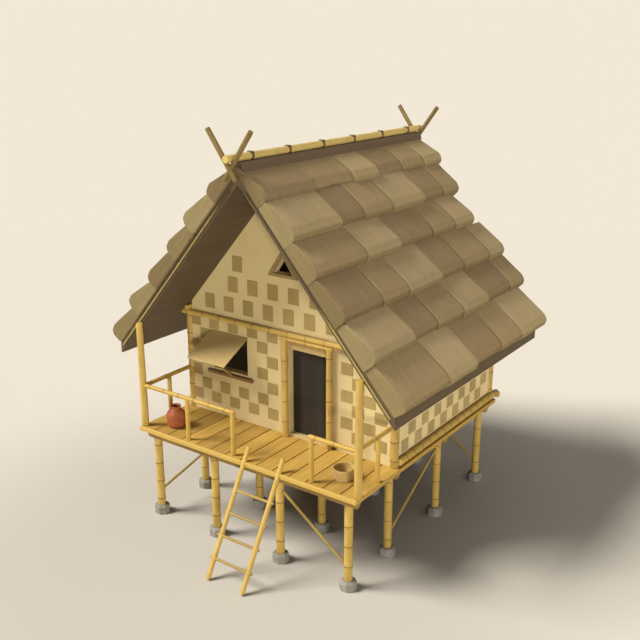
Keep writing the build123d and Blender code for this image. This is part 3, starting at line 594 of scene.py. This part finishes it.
# The corner posts take the darker bamboo: painted shade
culms("corner_posts", BAMBOO_POST_SHADED, pitch=0.374)
culms("wall_plates_side", BAMBOO, pitch=0.39)
culms("wall_plates_end", BAMBOO, pitch=0.43)
culms("base_rails_side", BAMBOO, pitch=0.285, spread=1.8)
culms("base_rail_back", BAMBOO, pitch=0.285, spread=1.8)
culms("door_frame", BAMBOO, pitch=0.42)
culms("veranda_posts", BAMBOO)
culms("veranda_rails_left", BAMBOO_PALE, pitch=0.393, upright_pitch=0.0, spread=1.3)
culms("veranda_rails_right", BAMBOO_PALE, pitch=0.393, upright_pitch=0.0, spread=1.3)
culms("ridge_pole", RIDGE, pitch=0.55, sides=24)
culms("crossed_finials", FINIAL, sides=18)
culms("barge_poles", BARGE, sides=12)
culms("ladder", BAMBOO, sides=18, thin=SPLIT)
culms("window_sill", SILL, sides=18)
culms("window_prop", SPLIT, sides=10)
culms("ridge_ties", ROPE, sides=24)


# ---------------- deck

# The boards: how many, how thick, how far apart, and how uneven their tops are
BOARDS, BOARD_THICK, BOARD_GAP, BOARD_DROP = 14, 0.032, 0.018, 0.002

# What lies under them is this much narrower on each side
UNDER_INSET = 0.05


def make_deck():
    low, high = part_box("floor_deck")
    pitch = (high.x - low.x + BOARD_GAP) / BOARDS
    batch = Batch()
    for i in range(BOARDS):
        x = low.x + i * pitch
        lift = steady(i, -BOARD_DROP, 0.0)
        foot = low.z if i in (0, BOARDS - 1) else high.z - BOARD_THICK
        batch.block((x, low.y, foot), (x + pitch - BOARD_GAP, high.y, high.z + lift), 0.005, steady(i + 9))
    under_low = (low.x + UNDER_INSET, low.y, low.z)
    under_high = (high.x - UNDER_INSET, high.y, high.z - BOARD_THICK)
    batch.block(under_low, under_high, 0.003, slot=1)
    batch.piece("deck_boards", [DECK, DECK_UNDER], stands_for=["floor_deck"])
    moulded("deck_edge_strip", BAMBOO, bevel=0.012, segments=3)


make_deck()


# ---------------- walls

# CAD nodes that stay, and their materials
CAD_LOOKS = {
    "wall_front_left": MAT_X, "wall_front_right": MAT_X, "wall_back": MAT_X,
    # The side walls take the lighter copy of the mat: painted light
    "gable_front": MAT_X, "gable_back": MAT_X, "wall_left": MAT_Y_PAINTED_LIGHT, "wall_right": MAT_Y_PAINTED_LIGHT,
    "window_flap": FLAP, "vent_frame": VENT, "door_leaf": DOOR, "door_threshold": PLANK,
    "wall_over_door": HEAD_PLANK,
}
for cad_node, cad_look in CAD_LOOKS.items():
    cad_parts[cad_node].data.materials[0] = cad_look
moulded("roof_slab_left", ROOF_BOARD, bevel=0.006)
moulded("roof_slab_right", ROOF_BOARD, bevel=0.006)
moulded("ridge_cap", CAP, bevel=0.015, segments=3)
moulded("stone_footings", STONE, bevel=0.010, segments=3)

# A tile of darker weave: how deep it is sunk in its wall, how far it stands proud, the share of that up to
# which its edges are upright, and how wide the slope above them is
TILE_SINK, TILE_RISE, TILE_UPRIGHT, TILE_SLOPE = 0.002, 0.009, 0.6, 0.006

# Rows of tiles: pitch along a row, shift from row to row, rise, width and height
WALL_CHECKS = (0.4972, 0.2486, 0.269, 0.262, 0.234)
GABLE_CHECKS = (0.495, 0.125, 0.429, 0.252, 0.312)

# Where the rows start: X, and the height above the foot of the wall or gable. How long they may be
FRONT_X, FRONT_UP, FRONT_LENGTH = -2.42, 0.225, 4.9
GABLE_X, GABLE_UP = -2.002, 0.107
BACK_X, BACK_LENGTH = -2.3, 4.6

# They keep this far from a gable's slopes, and above the foot of the vent this far from its middle
GABLE_MARGIN, VENT_MARGIN = 0.05, 0.9

# They keep this far above the rail, and from the front and back of a side wall
RAIL_MARGIN, SIDE_START, SIDE_END = 0.03, 0.05, 0.06

RIGHT, BACK, UP = Vector((1, 0, 0)), Vector((0, 1, 0)), Vector((0, 0, 1))


def tile(batch, place, level, out, width, height, shade):
    """One square of darker weave, a little proud of its wall, with sloped edges."""
    rings = []
    for lift, inset in ((-TILE_SINK, 0.0), (TILE_RISE * TILE_UPRIGHT, 0.0), (TILE_RISE, TILE_SLOPE)):
        ring = []
        for right, top in SQUARE:
            a = width - inset if right else inset
            b = height - inset if top else inset
            ring.append(batch.point(place + level * a + UP * b + out * lift, shade))
        rings.append(ring)
    for low, high in zip(rings, rings[1:]):
        for i in range(4):
            batch.face([low[i], low[(i + 1) % 4], high[(i + 1) % 4], high[i]])
    batch.face(rings[-1])


def checks(name, material, origin, level, out, cells, keep_out):
    """Rows of tiles from the origin along level and up, less those for which a keep_out test is true."""
    columns, rows, pitch, shift, rise, width, height = cells
    batch = Batch()
    for row in range(rows):
        for column in range(columns):
            u, v = column * pitch + row * shift % pitch, row * rise
            box = (u, v, u + width, v + height)
            if any(keep(box) for keep in keep_out):
                continue
            place = origin + level * u + UP * v
            tile(batch, place, level, out, width, height, steady(row * 31 + column, 0.3, 0.7))
    batch.piece(name, [material])


def make_front_checks():
    frame_low, frame_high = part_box("door_frame")
    sill_low, sill_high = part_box("window_sill")
    flap_low, flap_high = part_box("window_flap")
    origin = Vector((FRONT_X, front_low.y, front_low.z + FRONT_UP))
    highest = front_high.z - origin.z

    def around(x0, z0, x1, z1):
        """A test for tiles that meet a box, which is given in X and Z."""
        left, bottom, far, top = x0 - origin.x, z0 - origin.z, x1 - origin.x, z1 - origin.z
        return lambda box: box[0] < far and box[2] > left and box[1] < top and box[3] > bottom

    keep_out = [
        around(sill_low.x, sill_low.z, sill_high.x, sill_high.z),
        around(flap_low.x, sill_high.z, flap_high.x, flap_high.z),
        around(frame_low.x, front_low.z, frame_high.x, front_high.z),
        lambda box: box[2] > FRONT_LENGTH or box[3] > highest,
    ]
    checks("front_checks", CHECK_X, origin, RIGHT, -BACK, (10, 7, *WALL_CHECKS), keep_out)


def make_gable_checks():
    vent_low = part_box("vent_frame")[0]
    slope = (apex_z - slab_low.z) / (eave[0] - slab_low.x)
    gables = (("front_gable_checks", "gable_front", -1), ("back_gable_checks", "gable_back", 1))
    for name, node, facing in gables:
        low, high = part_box(node)
        start = Vector((GABLE_X, low.y if facing < 0 else high.y, low.z + GABLE_UP))

        def off_gable(box, start=start):
            edge = max(abs(box[0] + start.x), abs(box[2] + start.x))
            return box[3] + start.z > apex_z - slope * (edge + GABLE_MARGIN)

        def by_vent(box, start=start):
            from_middle = abs((box[0] + box[2]) / 2 + start.x)
            return box[3] + start.z > vent_low.z and from_middle < VENT_MARGIN

        keep_out = [off_gable, by_vent]
        checks(name, CHECK_X, start, RIGHT, BACK * facing, (9, 3, *GABLE_CHECKS), keep_out)


def make_other_checks():
    """The tiles on the side walls and on the back wall."""
    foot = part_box("base_rail_back")[1].z + RAIL_MARGIN
    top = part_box("wall_left")[1].z - foot
    for name, node, facing in (("left_checks", "wall_left", -1), ("right_checks", "wall_right", 1)):
        low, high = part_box(node)
        start = Vector((low.x if facing < 0 else high.x, low.y + SIDE_START, foot))
        keep_out = [lambda box, length=high.y - low.y: box[2] > length - SIDE_END or box[3] > top]
        # The side walls' tiles take the lighter copy: painted light
        checks(name, CHECK_Y_PAINTED_LIGHT, start, BACK, RIGHT * facing, (8, 6, *WALL_CHECKS), keep_out)
    start = Vector((BACK_X, back_high.y, foot))
    top_back = back_high.z - foot
    keep_out = [lambda box: box[2] > BACK_LENGTH or box[3] > top_back]
    checks("back_checks", CHECK_X, start, RIGHT, BACK, (10, 7, *WALL_CHECKS), keep_out)


make_front_checks()
make_gable_checks()
make_other_checks()


# ---------------- thatch

# The straw of each course from the ridge down, bundle by bundle. A row starts again where it ends
TONES = 2 * (
    ("dark", "mid", "light"),
    ("light", "dark", "mid"),
    ("mid", "light", "dark", "mid", "light"),
)

# How much bundles differ in shade at random, and how much lighter the right eave's bundles are painted:
# painted light
SHADE_RANGE, EAVE_PAINTED_LIGHT = 0.08, 0.19

# Steps along a bundle that are nearer than this are one
SHORT_STRETCH = 0.004

# A corner of the outline is rounded by this much, or by this share of the shorter span beside it.
# It stays from this angle up, and where less than this would be cut
CORNER_CUT, CUT_SHARE, STRAIGHT, LEAST_CUT = 0.032, 0.4, radians(174), 0.004

# How many spans a rounded corner has, and how short the others may be made, round the bundle and along it
CORNER_SPANS, OUTLINE_STEP, SLICE_STEP = 3, 0.12, 0.045

# The soft edge at a bundle's two ends: half its width, and how far the end is drawn in
END_REACH, END_INSET = 0.003, 0.005

# Uneven straw: changes in a metre round the bundle and along it, and how far it moves the surface
LUMPS, STRANDS = (2.5, 3.0, 0.008), (4, 38.0, 0.004)

# Cut ends show where straw faces down the slope, from the first cosine on and fully at the second
CUT_FROM, CUT_FULLY = 0.3, 0.8


def sections(points, faces):
    """The cross-sections of a solid that runs along Y: each stretch's start, end and outline."""
    levels = sorted({round(point.y, 4) for point in points})
    levels = [levels[0]] + [y for before, y in zip(levels, levels[1:]) if y - before > SHORT_STRETCH]
    found = []
    for y0, y1 in zip(levels, levels[1:]):
        work = bmesh.new()
        corners = [work.verts.new(point) for point in points]
        for face in faces:
            work.faces.new([corners[i] for i in face])
        middle = Vector((0, (y0 + y1) / 2, 0))
        parts = work.verts[:] + work.edges[:] + work.faces[:]
        cut = bmesh.ops.bisect_plane(work, geom=parts, plane_co=middle, plane_no=Vector((0, 1, 0)))
        edges = [part for part in cut["geom_cut"] if isinstance(part, bmesh.types.BMEdge)]
        corner, edge, outline = edges[0].verts[0], edges[0], []
        while len(outline) < len(edges):
            outline.append(Vector((corner.co.x, corner.co.z)))
            corner = edge.other_vert(corner)
            edge = next(other for other in corner.link_edges if other in edges and other != edge)
        work.free()
        found.append((y0, y1, outline))
    return found


def bend(start, corner, end, spans):
    """The points of a soft curve from start to end, which leaves and arrives in line with the corner."""
    shares = [k / spans for k in range(spans + 1)]
    return [start.lerp(corner, t).lerp(corner.lerp(end, t), t) for t in shares]


def rounded(outline):
    """The outline with its corners rounded and its long spans divided."""
    result = []
    count = len(outline)
    for i, corner in enumerate(outline):
        before, after = outline[i - 1] - corner, outline[(i + 1) % count] - corner
        cut = min(CORNER_CUT, CUT_SHARE * before.length, CUT_SHARE * after.length)
        if before.angle(after) > STRAIGHT or cut < LEAST_CUT:
            result.append(corner)
            continue
        start, end = corner + before.normalized() * cut, corner + after.normalized() * cut
        result += bend(start, corner, end, CORNER_SPANS)
    divided = []
    for a, b in zip(result, result[1:] + result[:1]):
        parts = max(1, int((b - a).length / OUTLINE_STEP))
        divided += [a.lerp(b, k / parts) for k in range(parts)]
    return divided


def turned_left(outline):
    """The outline in the order that keeps its inside on the left."""
    area = sum(a.x * b.y - b.x * a.y for a, b in zip(outline, outline[1:] + outline[:1]))
    return outline if area > 0 else outline[::-1]


def uneven(place, y, kind):
    """How far in one kind of unevenness moves a point of the outline."""
    around, along, depth = kind
    return noise.noise(Vector((place.x * around, y * along, place.y * around))) * depth


def bundle(batch, points, faces, shade, slot):
    """One bundle of thatch: the CAD solid's sections with soft corners, and a surface of uneven straw."""
    stretches = sections(points, faces)
    first, last = stretches[0][0], stretches[-1][1]
    for y0, y1, outline in stretches:
        outline = rounded(turned_left(outline))
        count = len(outline)
        down = Vector((cos(ROOF_PITCH) * (1 if outline[0].x > 0 else -1), -sin(ROOF_PITCH)))
        into, cut_off = [], []
        for i in range(count):
            run = outline[(i + 1) % count] - outline[i - 1]
            into.append(Vector((-run.y, run.x)).normalized())
            facing = -into[i].dot(down)
            cut_off.append(min(1.0, max(0.0, (facing - CUT_FROM) / (CUT_FULLY - CUT_FROM))))
        parts = max(2, int((y1 - y0) / SLICE_STEP))
        slices = [(y0 + (y1 - y0) * i / parts, 0.0) for i in range(parts + 1)]
        if y0 == first:
            slices[0:1] = [(y0 - END_REACH, END_INSET), (y0 + END_REACH, 0.0)]
        if y1 == last:
            slices[-1:] = [(y1 - END_REACH, 0.0), (y1 + END_REACH, END_INSET)]
        rings = []
        for y, inset in slices:
            ring = []
            for place, inner, cut in zip(outline, into, cut_off):
                moved = place + inner * (inset + uneven(place, y, LUMPS) + uneven(place, y, STRANDS))
                # Rings drawn in at the bundle's ends take the dull colour: painted shade
                ring.append(batch.point((moved.x, y, moved.y), shade, 1.0 if inset else cut))
            rings.append(ring)
        for low, high in zip(rings, rings[1:]):
            for j in range(count):
                k = (j + 1) % count
                batch.face([low[k], high[k], high[j], low[j]], smooth=True, slot=slot)
        for ring, is_end, order in ((rings[0], y0 == first, 1), (rings[-1], y1 == last, -1)):
            if is_end:
                # The bundle's end faces are dull too: painted shade
                cap = [batch.point(batch.points[i], shade, 1.0) for i in ring]
                batch.face(cap[::order], slot=slot)


def make_thatch(course, row):
    node = "thatch_course_%d" % (course + 1)
    at_eave = course == len(TONES) - 1
    tones = list(THATCH)
    batch = Batch()
    solids = sorted(islands(node), key=lambda part: (part[0][0].x > 0, min(point.y for point in part[0])))
    for i, (points, faces) in enumerate(solids):
        shade = 0.5 + SHADE_RANGE * (steady(course * 17 + i) - 0.5)
        # Painted light: the right eave's bundles are made lighter
        if at_eave and points[0].x > 0:
            shade += EAVE_PAINTED_LIGHT
        bundle(batch, points, faces, shade, tones.index(row[i % len(row)]))
    batch.piece(node + "_straw", list(THATCH.values()), stands_for=[node])


for number, tone_row in enumerate(TONES):
    make_thatch(number, tone_row)


# ---------------- jar and basket

# The jar's outline from the foot up, as shares of its radius and height
JAR_RINGS = (
    (0.64, 0.0), (0.87, 0.06), (1.0, 0.18), (1.0, 0.6), (0.9, 0.7),
    (0.66, 0.8), (0.5, 0.87), (0.5, 0.92), (0.55, 1.0),
)
JAR_WALL, JAR_SIDES = 0.016, 56

# Over its lip: how far in, as a share of the wall, and how far down
JAR_LIP = ((0.3, 0.0), (0.8, 0.004))

# A bend in its outline takes this share of the spans beside it, and has this many spans
BEND_SHARE, BEND_SPANS = 0.32, 6

# The radius of the disc in the middle of its floor
JAR_FLOOR_RADIUS = 0.02

# The basket's foot as a share of its top, and how far inside the CAD's radius its rods run
BASKET_FOOT, BASKET_INSET = 0.86, 0.008

# Its stakes, and the rods woven round them: how many, how thick, and how far a rod weaves out and in
STAKES, STAKE_THICK = 28, 0.005
RODS, ROD_THICK, ROD_WAVE = 15, 0.0068, 0.0045

# The height of the lowest rod, and how much lower than the basket the rods are together
ROD_FOOT, RODS_SHORT = 0.012, 0.03

# Points along a stake, as shares of the basket's height
STAKE_POINTS = (0.03, 0.35, 0.7, 0.98)

# The basket's floor: how far inside the wall it ends, the heights of its two faces, and its corners
FLOOR_INSET, FLOOR_HEIGHTS, FLOOR_SIDES = 0.004, (0.004, 0.014), 40


def smooth_profile(profile):
    """The profile with a soft curve at each of its corners."""
    points = [Vector(place) for place in profile]
    result = [points[0]]
    for before, corner, after in zip(points, points[1:], points[2:]):
        start, end = corner.lerp(before, BEND_SHARE), corner.lerp(after, BEND_SHARE)
        result += bend(start, corner, end, BEND_SPANS)
    return result + [points[-1]]


def make_jar():
    low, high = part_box("water_jar")
    centre, height, radius = (low + high) / 2, high.z - low.z, (high.x - low.x) / 2
    outer = [(share * radius, rise * height) for share, rise in JAR_RINGS]
    outside = smooth_profile(outer)
    rim = outer[-1][0]
    lip = [Vector((rim - share * JAR_WALL, height - drop)) for share, drop in JAR_LIP]
    inside = [Vector((max(point.x - JAR_WALL, JAR_FLOOR_RADIUS), max(point.y, JAR_WALL)))
              for point in outside[::-1]]
    turns = [2 * pi * j / JAR_SIDES for j in range(JAR_SIDES)]
    batch = Batch()
    rings = [[batch.point(on_circle(centre, point.x, turn, low.z + point.y)) for turn in turns]
             for point in outside + lip + inside[2:]]
    # The inside faces and the floor take the lighter clay: painted light
    for i, (a, b) in enumerate(zip(rings, rings[1:])):
        for j in range(JAR_SIDES):
            k = (j + 1) % JAR_SIDES
            batch.face([a[j], a[k], b[k], b[j]], smooth=True, slot=int(i > len(outside)))
    batch.face(rings[0][::-1])
    batch.face(rings[-1], slot=1)
    batch.piece("clay_jar", [CLAY, CLAY_INSIDE_PAINTED_LIGHT], stands_for=["water_jar"])


def make_basket():
    low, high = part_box("basket")
    centre, height, radius = (low + high) / 2, high.z - low.z, (high.x - low.x) / 2
    top, foot = radius - BASKET_INSET, BASKET_FOOT * radius - BASKET_INSET
    batch = Batch()

    def ring(z, shift, thick, wave):
        """A rod round the basket at height z, which weaves out and in between the stakes."""
        path = []
        turns = STAKES * 3
        for j in range(turns):
            turn = 2 * pi * j / turns
            r = foot + (top - foot) * (z - low.z) / height + wave * cos(STAKES * turn / 2 + shift)
            path.append(on_circle(centre, r, turn, z))
        batch.tube(path, [thick] * turns, 6, steady(int(z * 1000) % 97, 0.2, 0.8), closed=True)

    for i in range(RODS):
        z = low.z + ROD_FOOT + (height - RODS_SHORT) * i / (RODS - 1)
        ring(z, pi * (i % 2), ROD_THICK, ROD_WAVE)
    ring(high.z - 0.008, shift=0.0, thick=0.0095, wave=0.001)
    ring(low.z + 0.009, shift=0.0, thick=0.009, wave=0.0)
    for j in range(STAKES):
        turn = 2 * pi * (j + 0.5) / STAKES
        path = [on_circle(centre, foot + (top - foot) * share, turn, low.z + height * share)
                for share in STAKE_POINTS]
        batch.tube(path, [STAKE_THICK] * len(path), 6, steady(j))
    turns = [2 * pi * j / FLOOR_SIDES for j in range(FLOOR_SIDES)]
    discs = [[batch.point(on_circle(centre, foot - FLOOR_INSET, turn, low.z + z)) for turn in turns]
             for z in FLOOR_HEIGHTS]
    batch.face(discs[0][::-1])
    batch.face(discs[1])
    batch.piece("woven_basket", [BASKETRY], stands_for=["basket"])


make_jar()
make_basket()


# ---------------- stage, light and camera

BACKDROP = rgb(242, 232, 213)
AMBIENT = Vector((0.02, 0.02, 0.02))
WARM = Vector((1.0, 0.97, 0.92))

# Each lamp: which way it shines, its colour, how bright a white face turned to it is, its width in degrees
LAMPS = {
    "key": (Vector((0.77, 0.625, -1.0)).normalized(), WARM, 1.6, 24),
    "front": (Vector((-0.7, 0.71, -0.01)).normalized(), WARM, 0.87, 11),
    "right": (Vector((-1.0, 0.1, -0.03)).normalized(), WARM, 0.19, 20),
    "above": (Vector((-0.4, -0.1, -0.9)).normalized(), Vector((1.0, 0.98, 0.95)), 0.22, 90),
}

# The floor's size, and how much brighter it renders than the lamps alone would make it
FLOOR_SIZE, FLOOR_GAIN = 400, 1.025

# Near the house the floor is painted darker by this factor, as painted shade, which fades between these
# distances from a point
NEAR_HOUSE_PAINTED_SHADE, FADE_FROM, FADE_TO, FADE_CENTRE = 0.8, 3.5, 9.5, (0, -2.5, 0)

# Between these distances it turns into the backdrop, so that no horizon shows
BACKDROP_FROM, BACKDROP_TO = 14, 34

# The lamp in the room: its X, and how far it hangs below the top of the back wall
GLOW_X, GLOW_DROP = 0.9, 0.6


def make_stage():
    bpy.ops.mesh.primitive_plane_add(size=FLOOR_SIZE, location=(0, 0, 0))
    floor = bpy.context.object
    floor.name = "floor"
    level = AMBIENT.copy()
    for direction, colour, strength, _ in LAMPS.values():
        level += colour * strength * -direction.z
    far = [BACKDROP[i] / (FLOOR_GAIN * level[i]) for i in range(3)]
    # Painted shade: the floor near the house is darker
    near = [NEAR_HOUSE_PAINTED_SHADE * value for value in far]
    look = Look("floor_paper", 0.95, 0.0)
    ends = {0: look.place, 1: FADE_CENTRE}
    away = look.add("VectorMath", ends, operation="DISTANCE").outputs["Value"]

    def fade(start, end):
        sockets = {"Value": away, "From Min": start, "From Max": end}
        return look.add("MapRange", sockets, interpolation_type="SMOOTHSTEP").outputs["Result"]

    floor.data.materials.append(look.finish(look.mix(fade(FADE_FROM, FADE_TO), (*near, 1), (*far, 1))))
    backdrop = look.add("Emission", {"Color": BACKDROP, "Strength": 1.0})
    beyond = fade(BACKDROP_FROM, BACKDROP_TO)
    joined = look.add("MixShader", {0: beyond, 1: look.shader.outputs[0], 2: backdrop.outputs[0]})
    look.tree.links.new(joined.outputs[0], look.tree.nodes["Material Output"].inputs["Surface"])


def add_lamp(name, kind, energy, colour):
    lamp = bpy.data.objects.new(name, bpy.data.lights.new(name, kind))
    lamp.data.energy = energy
    lamp.data.color = colour
    bpy.context.scene.collection.objects.link(lamp)
    return lamp


def make_lamps():
    for name, (direction, colour, strength, width) in LAMPS.items():
        lamp = add_lamp(name, "SUN", strength * pi, colour)
        lamp.data.angle = radians(width)
        lamp.rotation_euler = direction.to_track_quat("-Z", "Y").to_euler()
    # A weak lamp high in the room, so that openings don't look like black holes
    glow = add_lamp("room_glow", "POINT", 5.0, (0.66, 0.76, 1.0))
    glow.data.shadow_soft_size = 0.9
    glow.location = (GLOW_X, (back_low.y + front_low.y) / 2, back_high.z - GLOW_DROP)


def make_world():
    """A faint even light, and the backdrop's colour where the camera or a reflection sees past everything."""
    world = bpy.data.worlds.new("studio")
    world.use_nodes = True
    tree = world.node_tree
    soft = tree.nodes["Background"]
    soft.inputs["Color"].default_value = (*AMBIENT, 1)
    seen = tree.nodes.new("ShaderNodeBackground")
    seen.inputs["Color"].default_value = BACKDROP
    path = tree.nodes.new("ShaderNodeLightPath")
    shows = path.outputs["Is Camera Ray"]
    for other in ("Is Glossy Ray", "Is Transmission Ray"):
        either = tree.nodes.new("ShaderNodeMath")
        either.operation = "MAXIMUM"
        tree.links.new(shows, either.inputs[0])
        tree.links.new(path.outputs[other], either.inputs[1])
        shows = either.outputs[0]
    switch = tree.nodes.new("ShaderNodeMixShader")
    tree.links.new(shows, switch.inputs[0])
    tree.links.new(soft.outputs[0], switch.inputs[1])
    tree.links.new(seen.outputs[0], switch.inputs[2])
    tree.links.new(switch.outputs[0], tree.nodes["World Output"].inputs["Surface"])
    bpy.context.scene.world = world


def make_camera():
    scene = bpy.context.scene
    camera = bpy.data.objects.new("camera", bpy.data.cameras.new("camera"))
    camera.location = (9.8293, -13.7591, 9.3896)
    camera.rotation_euler = (radians(90 - 17.7977), 0, radians(35.6347))
    camera.data.sensor_width = 36
    camera.data.lens = 49.8
    camera.data.clip_end = 500
    scene.collection.objects.link(camera)
    scene.camera = camera
    scene.view_settings.view_transform = "Standard"


make_stage()
make_lamps()
make_world()
make_camera()
